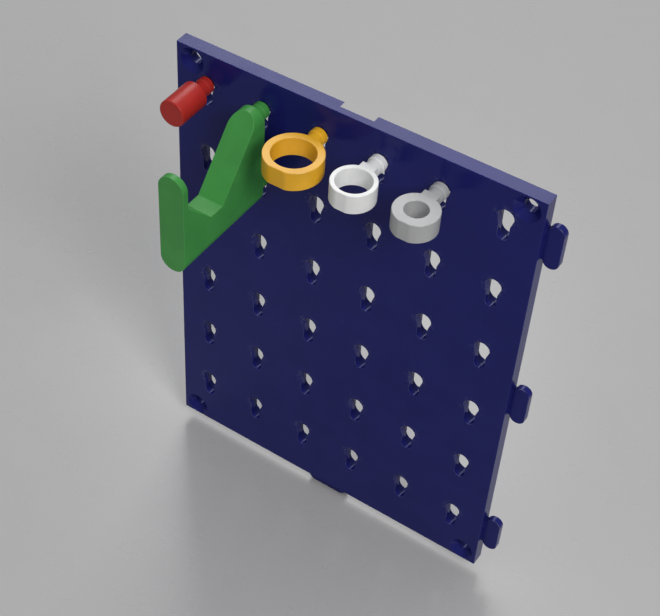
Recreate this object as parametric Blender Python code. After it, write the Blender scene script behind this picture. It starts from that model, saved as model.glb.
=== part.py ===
"""Pegboard tool wall: one keyhole wall tile and five plug-in tool holders.

Run with: blender --background --python part.py
Units are metres, +Z is up, -Y faces the room. The origin is the centre of the
tile's back face, which lies against the wall in the plane Y = 0.
"""

import math

import bmesh
import bpy
from mathutils import Matrix

# Tile and its grid of keyholes.
COLUMNS = 6
ROWS = 6
COLUMN_PITCH = 0.025
ROW_PITCH = 0.0325
BOTTOM_MARGIN = 0.0275
PANEL_THICKNESS = 0.0062

# Keyhole: a round entry over a narrower slot, cut through a front lip.
LIP_THICKNESS = 0.003
ENTRY_RADIUS = 0.0033
SLOT_RADIUS = 0.0022
TAPER_HEIGHT = 0.0034
SLOT_TRAVEL = 0.0077

# Pocket behind each keyhole, where the head of a plug slides down.
POCKET_SIDE_ROOM = 0.0005
POCKET_END_ROOM = 0.0003

# Countersunk fixing holes in the four corners.
SCREW_SIDE_INSET = 0.007
SCREW_END_INSET = 0.0058
SCREW_HOLE_RADIUS = 0.0026
COUNTERSINK_RADIUS = 0.0053
COUNTERSINK_DEPTH = 0.0027

# Locking tabs that join one tile to the next. Each neck is shorter than its tab by one
# step at either end. The pockets for them lie within the left and upper edges, and a rib
# is left between them and the pockets behind the nearest keyholes.
TAB_LENGTH = 0.0188
TAB_WIDTH = 0.0064
TAB_THICKNESS = 0.0029
TAB_STAND_OFF = 0.0004
TAB_NECK_STEP = 0.0026
TAB_CLEARANCE = 0.0003
SIDE_TABS = 3
SIDE_TAB_INSET = 0.0203
SIDE_RIB = 0.0034
TOP_RIB = 0.0028

# Plug that every holder ends in. Its collar covers the round entry with a narrow land,
# and a slimmer shaft joins the collar to the holder's body.
FIT_GAP = 0.0003
HEAD_WALL_GAP = 0.0005
HEAD_CHAMFER = 0.0005
COLLAR_LAND = 0.0001
COLLAR_LENGTH = 0.003
COLLAR_ROUNDING = 0.0005
SHAFT_STEP = 0.0003
STAND_OFF = 0.0065

# Plain peg.
PEG_RADIUS = 0.0055
PEG_LENGTH = 0.0155
PEG_FRONT_CHAMFER = 0.0005
PEG_BACK_CHAMFER = 0.0013

# Hook: a deep bar with round top and bottom, hung on two plugs, with a mouth in its top.
HOOK_RADIUS = 0.0055
HOOK_LENGTH = 0.0489
HOOK_LIP_THICKNESS = 0.0028
HOOK_LIP_DEPTH = 0.0078
HOOK_FLOOR_DEPTH = 0.0209
HOOK_FLOOR_LENGTH = 0.0071
HOOK_FRONT_SLOPE = math.radians(45.0)
HOOK_BACK_SLOPE = math.radians(50.0)

# Ring holders: name, outer radius, bore radius, width of the flat on the front.
RING_SIZES = {
    "large_ring_holder": (0.0112, 0.0083, 0.007),
    "medium_ring_holder": (0.0085, 0.0067, 0.0043),
    "small_ring_holder": (0.0085, 0.0044, 0.0043),
}
RING_CENTRE_REACH = 0.0171
RING_HEIGHT = 0.008
RING_TOP_RISE = 0.0032
ARM_WIDTH = 0.0062

# Finishes: sRGB colour and roughness.
FINISHES = {
    "wall_panel": ((0.145, 0.150, 0.360), 0.35),
    "plain_peg": ((0.700, 0.235, 0.215), 0.50),
    "hook": ((0.270, 0.560, 0.290), 0.50),
    "large_ring_holder": ((0.870, 0.640, 0.200), 0.50),
    "medium_ring_holder": ((0.880, 0.880, 0.870), 0.50),
    "small_ring_holder": ((0.690, 0.690, 0.690), 0.50),
}

# Sizes that follow from the ones above.
NECK_RADIUS = SLOT_RADIUS - FIT_GAP
HEAD_RADIUS = ENTRY_RADIUS - FIT_GAP
COLLAR_RADIUS = ENTRY_RADIUS + COLLAR_LAND
SHAFT_RADIUS = COLLAR_RADIUS - SHAFT_STEP
HEAD_FRONT = LIP_THICKNESS + FIT_GAP
HEAD_BACK = PANEL_THICKNESS - HEAD_WALL_GAP
POCKET_RADIUS = HEAD_RADIUS + POCKET_SIDE_ROOM
POCKET_TOP = HEAD_RADIUS + POCKET_END_ROOM
POCKET_BOTTOM = -SLOT_TRAVEL - HEAD_RADIUS - POCKET_END_ROOM
TAB_REACH = TAB_STAND_OFF + TAB_WIDTH
SIDE_MARGIN = TAB_REACH + TAB_CLEARANCE + SIDE_RIB + POCKET_RADIUS
TOP_MARGIN = TAB_REACH + TAB_CLEARANCE + TOP_RIB + POCKET_TOP
PANEL_WIDTH = 2 * SIDE_MARGIN + (COLUMNS - 1) * COLUMN_PITCH
PANEL_HEIGHT = TOP_MARGIN + BOTTOM_MARGIN + (ROWS - 1) * ROW_PITCH
SIDE_TAB_PITCH = (PANEL_HEIGHT - 2 * SIDE_TAB_INSET) / (SIDE_TABS - 1)

# Facets in a full turn, and how far a cutter runs past the face it opens.
SMALL_FACETS = 24
RING_FACETS = 48
CUT_MARGIN = 0.001


def clear_scene():
    """Removes every object that the scene starts with."""
    for obj in list(bpy.data.objects):
        bpy.data.objects.remove(obj, do_unlink=True)


def linear(value):
    """Turns one sRGB channel into its linear value."""
    return value / 12.92 if value <= 0.04045 else ((value + 0.055) / 1.055) ** 2.4


def make_material(name):
    colour, roughness = FINISHES[name]
    material = bpy.data.materials.new(name)
    material.use_nodes = True
    shader = material.node_tree.nodes["Principled BSDF"]
    shader.inputs["Base Color"].default_value = (*map(linear, colour), 1.0)
    shader.inputs["Roughness"].default_value = roughness
    shader.inputs["Metallic"].default_value = 0.0
    return material


def make_object(name, bm, location=(0.0, 0.0, 0.0), helper=False):
    """Turns a bmesh into an object. A helper only cuts or joins another piece."""
    bmesh.ops.recalc_face_normals(bm, faces=bm.faces)
    mesh = bpy.data.meshes.new(name)
    bm.to_mesh(mesh)
    bm.free()
    obj = bpy.data.objects.new(name, mesh)
    obj.location = location
    bpy.context.scene.collection.objects.link(obj)
    if helper:
        obj.hide_render = True
        obj.display_type = "WIRE"
    else:
        mesh.materials.append(make_material(name))
        mesh.shade_smooth()
        mesh.set_sharp_from_angle(angle=math.radians(35.0))
    return obj


def combine(target, other, operation):
    modifier = target.modifiers.new(f"{operation.lower()}_{other.name}", "BOOLEAN")
    modifier.operation = operation
    modifier.solver = "EXACT"
    modifier.object = other


def arc(x, z, radius, start, end, facets):
    """Points on an arc in the XZ plane, both ends included. Angles in degrees."""
    steps = max(1, round(facets * abs(end - start) / 360.0))
    points = []
    for index in range(steps + 1):
        angle = math.radians(start + (end - start) * index / steps)
        points.append((x + radius * math.cos(angle), z + radius * math.sin(angle)))
    return points


def stadium(x, z_low, z_high, radius, facets):
    """Outline of an upright slot whose round ends are centred on z_low and z_high."""
    upper = arc(x, z_high, radius, 0.0, 180.0, facets)
    lower = arc(x, z_low, radius, 180.0, 360.0, facets)
    return upper + lower


def rectangle(x_low, x_high, z_low, z_high):
    return [(x_low, z_low), (x_high, z_low), (x_high, z_high), (x_low, z_high)]


def add_prism(bm, outline, y_low, y_high):
    """Adds the solid between two copies of an XZ outline."""
    front = [bm.verts.new((x, y_low, z)) for x, z in outline]
    back = [bm.verts.new((x, y_high, z)) for x, z in outline]
    count = len(outline)
    bm.faces.new(front)
    bm.faces.new(back)
    for index in range(count):
        after = (index + 1) % count
        bm.faces.new((front[index], front[after], back[after], back[index]))


def add_turned(bm, profile, facets, centre=(0.0, 0.0, 0.0)):
    """Adds a solid turned about Y. The profile lists (y, radius) and its ends close flat."""
    rings = []
    for y, radius in profile:
        ring = []
        for index in range(facets):
            angle = 2.0 * math.pi * index / facets
            offset = (radius * math.cos(angle), y, radius * math.sin(angle))
            ring.append(bm.verts.new([c + o for c, o in zip(centre, offset)]))
        rings.append(ring)
    bm.faces.new(rings[0])
    bm.faces.new(rings[-1])
    for near, far in zip(rings, rings[1:]):
        for index in range(facets):
            after = (index + 1) % facets
            bm.faces.new((near[index], near[after], far[after], far[index]))


def keyhole_centre(column, row):
    """Centre of a keyhole's round entry, on the tile's front face."""
    x = -PANEL_WIDTH / 2 + SIDE_MARGIN + column * COLUMN_PITCH
    z = PANEL_HEIGHT / 2 - TOP_MARGIN - row * ROW_PITCH
    return x, -PANEL_THICKNESS, z


def keyhole_outline(x, z):
    """The round entry, its straight taper and the round foot of the slot."""
    entry = arc(x, z, ENTRY_RADIUS, 0.0, 180.0, SMALL_FACETS)
    left = [(x - SLOT_RADIUS, z - TAPER_HEIGHT)]
    foot = arc(x, z - SLOT_TRAVEL, SLOT_RADIUS, 180.0, 360.0, SMALL_FACETS * 2 / 3)
    right = [(x + SLOT_RADIUS, z - TAPER_HEIGHT)]
    return entry + left + foot + right


def keyhole_cutter():
    bm = bmesh.new()
    for row in range(ROWS):
        for column in range(COLUMNS):
            x, y, z = keyhole_centre(column, row)
            outline = keyhole_outline(x, z)
            add_prism(bm, outline, y - CUT_MARGIN, y + PANEL_THICKNESS + CUT_MARGIN)
    return make_object("keyhole_cutter", bm, helper=True)


def pocket_cutter():
    """The wide hollows behind the lip, one for each keyhole."""
    low = POCKET_BOTTOM + POCKET_RADIUS
    high = POCKET_TOP - POCKET_RADIUS
    bm = bmesh.new()
    for row in range(ROWS):
        for column in range(COLUMNS):
            x, y, z = keyhole_centre(column, row)
            outline = stadium(x, z + low, z + high, POCKET_RADIUS, SMALL_FACETS * 2 / 3)
            add_prism(bm, outline, y + LIP_THICKNESS, CUT_MARGIN)
    return make_object("pocket_cutter", bm, helper=True)


def screw_centres():
    x = PANEL_WIDTH / 2 - SCREW_SIDE_INSET
    z = PANEL_HEIGHT / 2 - SCREW_END_INSET
    return [(side * x, end * z) for side in (-1, 1) for end in (-1, 1)]


def screw_cutter():
    """Countersunk holes: each cone runs on past the front face at the same slope."""
    slope = (COUNTERSINK_RADIUS - SCREW_HOLE_RADIUS) / COUNTERSINK_DEPTH
    front = -PANEL_THICKNESS
    profile = [
        (front - CUT_MARGIN, COUNTERSINK_RADIUS + CUT_MARGIN * slope),
        (front + COUNTERSINK_DEPTH, SCREW_HOLE_RADIUS),
        (CUT_MARGIN, SCREW_HOLE_RADIUS),
    ]
    bm = bmesh.new()
    for x, z in screw_centres():
        add_turned(bm, profile, SMALL_FACETS, centre=(x, 0.0, z))
    return make_object("screw_cutter", bm, helper=True)


def side_tab_heights():
    middle = (SIDE_TABS - 1) / 2
    return [(middle - index) * SIDE_TAB_PITCH for index in range(SIDE_TABS)]


def tab_outline(grow):
    """Outline of a round-ended tab and its neck, as (distance beyond the edge, along it).

    grow is what the outline gains on each side: none for a tab, a clearance for a pocket.
    """
    middle = TAB_STAND_OFF + TAB_WIDTH / 2
    radius = TAB_WIDTH / 2 + grow
    half_straight = (TAB_LENGTH - TAB_WIDTH) / 2
    half_neck = TAB_LENGTH / 2 - TAB_NECK_STEP + grow
    root = math.degrees(math.asin((half_neck - half_straight) / radius))
    far_end = arc(middle, half_straight, radius, 0.0, 180.0 - root, SMALL_FACETS)
    near_end = arc(middle, -half_straight, radius, 180.0 + root, 360.0, SMALL_FACETS)
    within_edge = [(-CUT_MARGIN, half_neck), (-CUT_MARGIN, -half_neck)]
    return far_end + within_edge + near_end


def add_tabs(bm, side_edge, end_edge, grow, y_low, y_high):
    """Adds the outlines of the side tabs and of the one at the middle of an end."""
    outline = tab_outline(grow)
    for height in side_tab_heights():
        side = [(side_edge + beyond, height + along) for beyond, along in outline]
        add_prism(bm, side, y_low, y_high)
    end = [(along, end_edge - beyond) for beyond, along in outline]
    add_prism(bm, end, y_low, y_high)


def tab_plates():
    """Three tabs on the right edge and one below."""
    bm = bmesh.new()
    add_tabs(bm, PANEL_WIDTH / 2, -PANEL_HEIGHT / 2, 0.0, -TAB_THICKNESS, 0.0)
    return make_object("tab_plates", bm, helper=True)


def tab_pocket_cutter():
    """Three pockets within the left edge and one within the upper, open to the back."""
    depth = TAB_THICKNESS + TAB_CLEARANCE
    bm = bmesh.new()
    add_tabs(bm, -PANEL_WIDTH / 2, PANEL_HEIGHT / 2, TAB_CLEARANCE, -depth, CUT_MARGIN)
    return make_object("tab_pocket_cutter", bm, helper=True)


def make_wall_panel():
    bm = bmesh.new()
    half_width = PANEL_WIDTH / 2
    half_height = PANEL_HEIGHT / 2
    outline = rectangle(-half_width, half_width, -half_height, half_height)
    add_prism(bm, outline, -PANEL_THICKNESS, 0.0)
    panel = make_object("wall_panel", bm)
    combine(panel, tab_plates(), "UNION")
    cutters = (keyhole_cutter(), pocket_cutter(), screw_cutter(), tab_pocket_cutter())
    for cutter in cutters:
        combine(panel, cutter, "DIFFERENCE")
    return panel


def plug_profile(body_overlap):
    """Turned plug, from the head behind the lip to the shaft that enters the body.

    body_overlap is how far the shaft runs into the holder's body.
    """
    inner = COLLAR_RADIUS - COLLAR_ROUNDING
    quarter = arc(inner, COLLAR_ROUNDING, COLLAR_ROUNDING, -90.0, 0.0, SMALL_FACETS)
    collar_back = [(-FIT_GAP - depth, radius) for radius, depth in quarter]
    return [
        (HEAD_BACK, HEAD_RADIUS - HEAD_CHAMFER),
        (HEAD_BACK - HEAD_CHAMFER, HEAD_RADIUS),
        (HEAD_FRONT, HEAD_RADIUS),
        (HEAD_FRONT, NECK_RADIUS),
        (-FIT_GAP, NECK_RADIUS),
        *collar_back,
        (-COLLAR_LENGTH + SHAFT_STEP, COLLAR_RADIUS),
        (-COLLAR_LENGTH, SHAFT_RADIUS),
        (-STAND_OFF - body_overlap, SHAFT_RADIUS),
    ]


def make_plug(holder, location, body_overlap, drop=0.0):
    """A plug that is joined to a holder, drop below the holder's own origin."""
    bm = bmesh.new()
    add_turned(bm, plug_profile(body_overlap), SMALL_FACETS, centre=(0.0, 0.0, -drop))
    plug = make_object(f"{holder.name}_plug_{drop * 1000:.0f}", bm, location, helper=True)
    combine(holder, plug, "UNION")


def make_plain_peg(column, row):
    front = -STAND_OFF - PEG_LENGTH
    body = [
        (-STAND_OFF, PEG_RADIUS - PEG_BACK_CHAMFER),
        (-STAND_OFF - PEG_BACK_CHAMFER, PEG_RADIUS),
        (front + PEG_FRONT_CHAMFER, PEG_RADIUS),
        (front, PEG_RADIUS - PEG_FRONT_CHAMFER),
    ]
    bm = bmesh.new()
    add_turned(bm, plug_profile(0.0) + body, SMALL_FACETS)
    return make_object("plain_peg", bm, keyhole_centre(column, row))


def hook_mouth_cutter(location):
    """The mouth in side view: a back slope, a level floor, a front slope and the lip's wall."""
    top = HOOK_RADIUS + CUT_MARGIN
    lip_y = -STAND_OFF - HOOK_LENGTH + HOOK_LIP_THICKNESS
    floor_front = lip_y + (HOOK_FLOOR_DEPTH - HOOK_LIP_DEPTH) / math.tan(HOOK_FRONT_SLOPE)
    floor_back = floor_front + HOOK_FLOOR_LENGTH
    mouth_back = floor_back + (HOOK_FLOOR_DEPTH + top) / math.tan(HOOK_BACK_SLOPE)
    side_view = [
        (lip_y, top),
        (lip_y, -HOOK_LIP_DEPTH),
        (floor_front, -HOOK_FLOOR_DEPTH),
        (floor_back, -HOOK_FLOOR_DEPTH),
        (mouth_back, top),
    ]
    reach = HOOK_RADIUS + CUT_MARGIN
    bm = bmesh.new()
    left = [bm.verts.new((-reach, y, z)) for y, z in side_view]
    right = [bm.verts.new((reach, y, z)) for y, z in side_view]
    bm.faces.new(left)
    bm.faces.new(right)
    for index in range(len(side_view)):
        after = (index + 1) % len(side_view)
        bm.faces.new((left[index], left[after], right[after], right[index]))
    return make_object("hook_mouth_cutter", bm, location, helper=True)


def make_hook(column, row):
    location = keyhole_centre(column, row)
    outline = stadium(0.0, -ROW_PITCH, 0.0, HOOK_RADIUS, RING_FACETS)
    bm = bmesh.new()
    add_prism(bm, outline, -STAND_OFF - HOOK_LENGTH, -STAND_OFF)
    hook = make_object("hook", bm, location)
    combine(hook, hook_mouth_cutter(location), "DIFFERENCE")
    for drop in (0.0, ROW_PITCH):
        make_plug(hook, location, CUT_MARGIN, drop)
    return hook


def ring_outline(outer_radius, flat_width):
    """Plan view of a ring: a circle with a flat on the side that faces the room."""
    half_angle = math.degrees(math.asin(flat_width / 2 / outer_radius))
    return arc(0.0, 0.0, outer_radius, -90.0 + half_angle, 270.0 - half_angle, RING_FACETS)


def make_ring_holder(name, column, row):
    outer_radius, bore_radius, flat_width = RING_SIZES[name]
    location = keyhole_centre(column, row)
    bottom = RING_TOP_RISE - RING_HEIGHT
    lay_flat = Matrix.Rotation(math.radians(-90.0), 4, "X")

    bm = bmesh.new()
    add_prism(bm, ring_outline(outer_radius, flat_width), -RING_TOP_RISE, -bottom)
    bm.transform(Matrix.Translation((0.0, -RING_CENTRE_REACH, 0.0)) @ lay_flat)
    holder = make_object(name, bm, location)

    arm = bmesh.new()
    half_width = ARM_WIDTH / 2
    arm_outline = rectangle(-half_width, half_width, -SHAFT_RADIUS, RING_TOP_RISE)
    add_prism(arm, arm_outline, -RING_CENTRE_REACH, -STAND_OFF)
    combine(holder, make_object(f"{name}_arm", arm, location, helper=True), "UNION")
    make_plug(holder, location, CUT_MARGIN)

    bore = bmesh.new()
    bore_outline = arc(0.0, 0.0, bore_radius, 0.0, 360.0, RING_FACETS)[:-1]
    add_prism(bore, bore_outline, -RING_TOP_RISE - CUT_MARGIN, -bottom + CUT_MARGIN)
    bore.transform(Matrix.Translation((0.0, -RING_CENTRE_REACH, 0.0)) @ lay_flat)
    combine(holder, make_object(f"{name}_bore", bore, location, helper=True), "DIFFERENCE")
    return holder


def main():
    clear_scene()
    bpy.context.scene.unit_settings.scale_length = 1.0
    make_wall_panel()
    make_plain_peg(0, 0)
    make_hook(1, 0)
    for column, name in enumerate(RING_SIZES, start=2):
        make_ring_holder(name, column, 0)


main()
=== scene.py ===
"""Pegboard tool wall: finished meshes and plastics for one keyhole tile and five tool holders.

Lengths are metres, +Z is up and -Y faces the room. The tile's back face lies in the plane
Y = 0 with the origin at its centre, and each holder is at the top of its keyhole's travel.
"""

import logging
import math
from dataclasses import dataclass, field, replace
from enum import Enum

import bmesh
import bpy
from mathutils import Euler, Matrix, Vector

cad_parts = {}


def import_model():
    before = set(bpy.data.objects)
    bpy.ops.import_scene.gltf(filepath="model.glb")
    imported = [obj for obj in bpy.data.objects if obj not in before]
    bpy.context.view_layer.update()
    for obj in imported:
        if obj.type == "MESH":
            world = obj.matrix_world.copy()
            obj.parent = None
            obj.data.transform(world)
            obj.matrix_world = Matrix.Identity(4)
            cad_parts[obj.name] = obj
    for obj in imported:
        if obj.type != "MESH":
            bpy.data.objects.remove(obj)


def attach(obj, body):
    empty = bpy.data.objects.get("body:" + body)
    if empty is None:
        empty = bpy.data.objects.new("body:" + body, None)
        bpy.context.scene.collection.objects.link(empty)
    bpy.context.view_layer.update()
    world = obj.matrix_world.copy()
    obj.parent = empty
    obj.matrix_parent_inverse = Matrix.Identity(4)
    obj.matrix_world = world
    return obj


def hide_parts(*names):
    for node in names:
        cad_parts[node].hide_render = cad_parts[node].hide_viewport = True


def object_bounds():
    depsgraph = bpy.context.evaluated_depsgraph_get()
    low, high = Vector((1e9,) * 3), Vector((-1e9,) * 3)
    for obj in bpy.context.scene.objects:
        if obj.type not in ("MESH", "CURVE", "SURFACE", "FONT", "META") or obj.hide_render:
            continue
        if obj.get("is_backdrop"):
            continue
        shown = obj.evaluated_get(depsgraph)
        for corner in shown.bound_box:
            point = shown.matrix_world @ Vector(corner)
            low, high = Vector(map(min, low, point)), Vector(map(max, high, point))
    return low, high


Tree = bpy.types.NodeTree
Socket = bpy.types.NodeSocket
Shape = bmesh.types.BMesh
Piece = bpy.types.Object
Outline = list[tuple[float, float]]

LOG = logging.getLogger("tool_wall")

# Name of the face attribute that marks a rubbed edge.
WEAR = "edge_wear"

# Facets in a full turn: of a turned shape or a ring, a keyhole, a tab and the hook's ends.
TURN_FACETS = 96
ENTRY_FACETS = 64
SLOT_FACETS = 48
TAB_FACETS = 72
HOOK_FACETS = 80
# Facets across a ring's flat, across an arm's front and round a small edge.
FLAT_FACETS = 8
ARM_FACETS = 8
ROUNDING_FACETS = 4
BEVEL_SEGMENTS = 3

# Faces that meet at more than the first angle are creased, and at the second are bevelled.
CREASE_ANGLE = math.radians(34.0)
BEVEL_ANGLE = math.radians(25.0)
# A face with more corners than this is an end cap, and is creased all round.
MOST_CORNERS = 8
# The widest band that counts as an edge: on a holder, in metres, and on the tile, per chamfer.
HOLDER_EDGE_BAND = 0.0003
TILE_EDGE_BAND = 1.7
# Points nearer than this are one point, in metres.
MERGE_DISTANCE = 1e-7
# How far a cutter runs past what it cuts, and how far joined shapes run into one another.
CUT_MARGIN = 0.0005
MOUTH_MARGIN = 0.001
NECK_OVERLAP = 0.001
SHAFT_OVERLAP = 0.0008
# How far an arm ends inside a ring's broken edge, as a share of that edge.
ARM_BITE = 0.7
# From the object's lowest point down to the floor.
FLOOR_GAP = 0.0002


def linear(hex_colour: str) -> tuple[float, float, float, float]:
    """Turns an sRGB hex colour into linear RGBA.

    Args:
        hex_colour: Six hex digits, such as "A0B1C2".

    Returns:
        Linear red, green and blue, with an alpha of one.
    """
    channels = [int(hex_colour[index : index + 2], 16) / 255.0 for index in (0, 2, 4)]
    red, green, blue = (
        value / 12.92 if value <= 0.04045 else ((value + 0.055) / 1.055) ** 2.4
        for value in channels
    )
    return red, green, blue, 1.0


def add_node(
    tree: Tree,
    kind: str,
    inputs: dict[int | str, object] | None = None,
    **settings: object,
) -> bpy.types.Node:
    """Adds a node with its settings, values and links.

    Args:
        tree: The node tree that gains the node.
        kind: The node's type name.
        inputs: Socket name or index, and the value or the output socket that feeds it.
        **settings: Attributes of the node itself, such as its operation.

    Returns:
        The new node.
    """
    node = tree.nodes.new(kind)
    for name, value in settings.items():
        setattr(node, name, value)
    for key, value in (inputs or {}).items():
        if isinstance(value, Socket):
            tree.links.new(value, node.inputs[key])
        else:
            node.inputs[key].default_value = value
    return node


def remap(
    tree: Tree,
    value: Socket,
    source: tuple[float, float],
    target: tuple[float, float] = (0.0, 1.0),
    **settings: object,
) -> Socket:
    """Stretches one range of values to another, held at both ends.

    Args:
        tree: The node tree that gains the node.
        value: The socket to stretch.
        source: The two ends of the range that comes in.
        target: What the two ends become.
        **settings: Attributes of the node itself.

    Returns:
        The stretched value's socket.
    """
    inputs = dict(enumerate((value, *source, *target)))
    return add_node(tree, "ShaderNodeMapRange", inputs, **settings).outputs[0]


def maths(tree: Tree, operation: str, *values: object) -> Socket:
    """Adds one arithmetic node.

    Args:
        tree: The node tree that gains the node.
        operation: The node's operation.
        *values: Numbers or sockets, in the order of the node's inputs.

    Returns:
        The result's socket.
    """
    inputs = dict(enumerate(values))
    return add_node(tree, "ShaderNodeMath", inputs, operation=operation).outputs[0]


def mixed(tree: Tree, share: Socket, first: object, second: object) -> Socket:
    """Mixes two colours.

    Args:
        tree: The node tree that gains the node.
        share: How much of the second colour shows.
        first: A colour or the socket of one.
        second: A colour or the socket of one.

    Returns:
        The mixed colour's socket.
    """
    inputs = {0: share, 6: first, 7: second}
    return add_node(tree, "ShaderNodeMix", inputs, data_type="RGBA").outputs[2]


# --------------------------------------------------------------------------- finishes


class MouldTexture(Enum):
    """Finish of the mould's wall, as (roughness, bump strength, grain in mm)."""

    POLISHED = (0.17, 0.04, 0.9)
    SATIN = (0.34, 0.12, 0.7)


@dataclass(frozen=True)
class MouldedPlastic:
    """Coloured ABS from an injection mould.

    Attributes:
        name: Material name.
        colour: Body colour, sRGB hex.
        texture: Finish of the mould's wall.
        specular: Specular level of the shader.
        sheen: Tint of what the surface reflects, sRGB hex.
        refraction: Refractive index of the plastic.
        flow_mm: Width of the faint clouds that the melt leaves in the colour.
        flow_depth: Darkest and lightest cloud, as shares of the body colour.
        edge_lift: How much paler the plastic is along a rubbed edge.
        patch_mm: Width of the patches that break up the rubbed edges.
        gloss_mm: Width of the areas whose gloss differs.
        rub_mm: Width of a handling mark.
        rub_stretch: A mark's width as a share of its length.
        shrink_mm: Width of the shallow waves left where the plastic shrank.
    """

    name: str
    colour: str
    texture: MouldTexture = MouldTexture.SATIN
    specular: float = 0.32
    sheen: str = "FFFFFF"
    refraction: float = 1.52
    flow_mm: float = 14.0
    flow_depth: tuple[float, float] = (0.93, 1.06)
    edge_lift: float = 0.10
    patch_mm: float = 3.0
    gloss_mm: float = 22.0
    rub_mm: float = 1.0
    rub_stretch: float = 0.12
    shrink_mm: float = 9.0

    def make(self) -> bpy.types.Material:
        """Builds the material.

        Returns:
            A material with colour, roughness and bump from nodes.
        """
        material = bpy.data.materials.new(self.name)
        material.use_nodes = True
        tree = material.node_tree
        shader = tree.nodes["Principled BSDF"]
        shader.inputs["IOR"].default_value = self.refraction
        shader.inputs["Specular IOR Level"].default_value = self.specular
        shader.inputs["Specular Tint"].default_value = linear(self.sheen)
        place = add_node(tree, "ShaderNodeTexCoord").outputs["Object"]
        tree.links.new(self.colour_socket(tree, place), shader.inputs["Base Color"])
        tree.links.new(self.roughness_socket(tree, place), shader.inputs["Roughness"])
        tree.links.new(self.bump_socket(tree, place), shader.inputs["Normal"])
        return material

    def noise(self, tree: Tree, place: Socket, size_mm: float, detail: float) -> Socket:
        """Adds noise whose blobs are about size_mm across.

        Args:
            tree: The material's tree.
            place: Object coordinates.
            size_mm: Width of one blob, in millimetres.
            detail: Octaves of finer noise on it.

        Returns:
            The noise's grey output.
        """
        values = {"Vector": place, "Scale": 1000.0 / size_mm, "Detail": detail, "Roughness": 0.55}
        return add_node(tree, "ShaderNodeTexNoise", values).outputs[0]

    def colour_socket(self, tree: Tree, place: Socket) -> Socket:
        """Body colour with flow clouds and paler rubbed edges.

        Args:
            tree: The material's tree.
            place: Object coordinates.

        Returns:
            The colour's output socket.
        """
        red, green, blue, _ = linear(self.colour)
        deep, bright = self.flow_depth
        # The clouds' dark side is a touch bluer than the body.
        dark = (red * deep, green * deep, blue * (deep + 0.02), 1.0)
        light = (*(min(1.0, value * bright) for value in (red, green, blue)), 1.0)
        worn = (*(value + (1.0 - value) * self.edge_lift for value in (red, green, blue)), 1.0)
        cloud = remap(tree, self.noise(tree, place, self.flow_mm, 3.0), (0.35, 0.65))
        flow = mixed(tree, cloud, dark, light)
        return mixed(tree, self.wear_socket(tree, place), flow, worn)

    def wear_socket(self, tree: Tree, place: Socket) -> Socket:
        """How rubbed the surface is: the mesh's edge attribute, broken up by noise.

        Args:
            tree: The material's tree.
            place: Object coordinates.

        Returns:
            A grey socket from none to fully rubbed.
        """
        edge = add_node(tree, "ShaderNodeAttribute", attribute_name=WEAR).outputs["Fac"]
        patch = remap(tree, self.noise(tree, place, self.patch_mm, 2.0), (0.38, 0.62))
        return maths(tree, "MULTIPLY", edge, patch)

    def roughness_socket(self, tree: Tree, place: Socket) -> Socket:
        """Gloss that differs a little from place to place, with drawn-out handling marks.

        Args:
            tree: The material's tree.
            place: Object coordinates.

        Returns:
            The roughness socket.
        """
        base = self.texture.value[0]
        broad = remap(
            tree,
            self.noise(tree, place, self.gloss_mm, 2.0),
            (0.3, 0.7),
            (base - 0.05, base + 0.06),
        )
        stretch = {"Vector": place, "Scale": (1.0, 1.0, self.rub_stretch)}
        drawn = add_node(tree, "ShaderNodeMapping", stretch).outputs[0]
        marks = remap(tree, self.noise(tree, drawn, self.rub_mm, 2.0), (0.62, 0.72), (0.0, 0.06))
        return maths(tree, "ADD", broad, marks)

    def bump_socket(self, tree: Tree, place: Socket) -> Socket:
        """Fine grain of the mould's wall, on a broad shallow shrinkage wave.

        Args:
            tree: The material's tree.
            place: Object coordinates.

        Returns:
            The normal socket.
        """
        _, strength, grain_mm = self.texture.value
        # A polished or fine-blasted wall has grain under 0.1 mm; it is drawn coarser to show.
        layers = (
            (self.noise(tree, place, self.shrink_mm, 1.0), 0.10, 0.0002),
            (self.noise(tree, place, grain_mm, 2.0), strength, 0.00005),
        )
        normal = {}
        for height, share, depth in layers:
            inputs = {"Height": height, "Strength": share, "Distance": depth, **normal}
            normal = {"Normal": add_node(tree, "ShaderNodeBump", inputs).outputs[0]}
        return normal["Normal"]


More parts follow.
